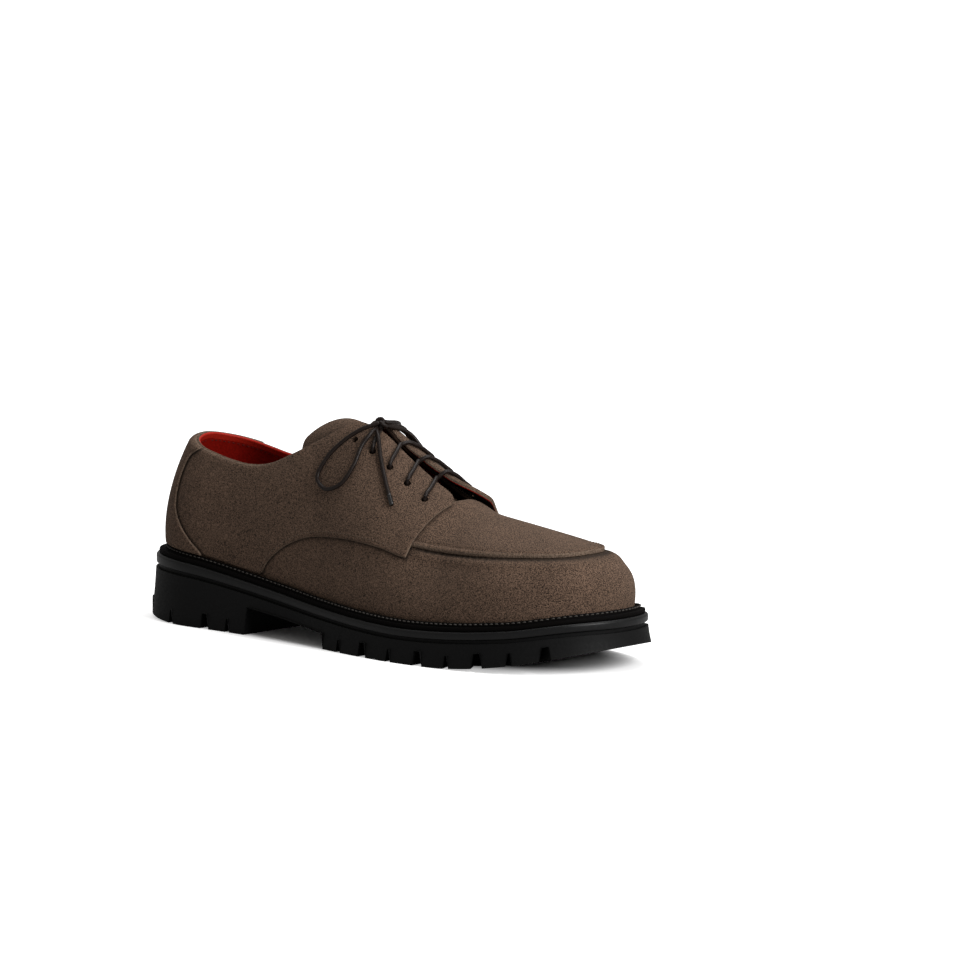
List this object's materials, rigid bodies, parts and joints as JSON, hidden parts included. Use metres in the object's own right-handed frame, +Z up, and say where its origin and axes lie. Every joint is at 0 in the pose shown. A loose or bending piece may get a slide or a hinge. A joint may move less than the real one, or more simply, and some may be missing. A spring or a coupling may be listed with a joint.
{
  "type": "lug sole derby",
  "caption": "Right derby shoe: hollow suede upper with a raised apron toe and open laced facings over a tongue, on a thick welted rubber sole with heel block, arch, toe spring and lugs.",
  "frame": {"origin": "on the floor, under the middle of the shoe's length and width", "axes": "+X to the toe, +Y to the inner (medial) side, +Z up"},
  "size_m": [0.3056, 0.1118, 0.117],
  "materials": {
    "suede": "napped taupe suede",
    "lining": "smooth red lining leather",
    "rubber": "matte black moulded rubber",
    "welt": "satin black stitched welt strip",
    "cord": "waxed round lace, very dark brown"
  },
  "bodies": {
    "root": {"upper": "suede", "quarter_lateral": "suede", "quarter_medial": "suede", "back_strip": "suede", "apron": "suede", "tongue": "suede", "insole": "lining", "welt": "welt", "midsole": "rubber", "outsole": "rubber", "lace_cross_1": "cord", "lace_cross_2": "cord", "lace_cross_3": "cord", "lace_cross_4": "cord", "lace_knot": "cord", "lace_loop_lateral": "cord", "lace_loop_medial": "cord", "lace_end_lateral": "cord", "lace_end_medial": "cord"}
  },
  "joints": []
}
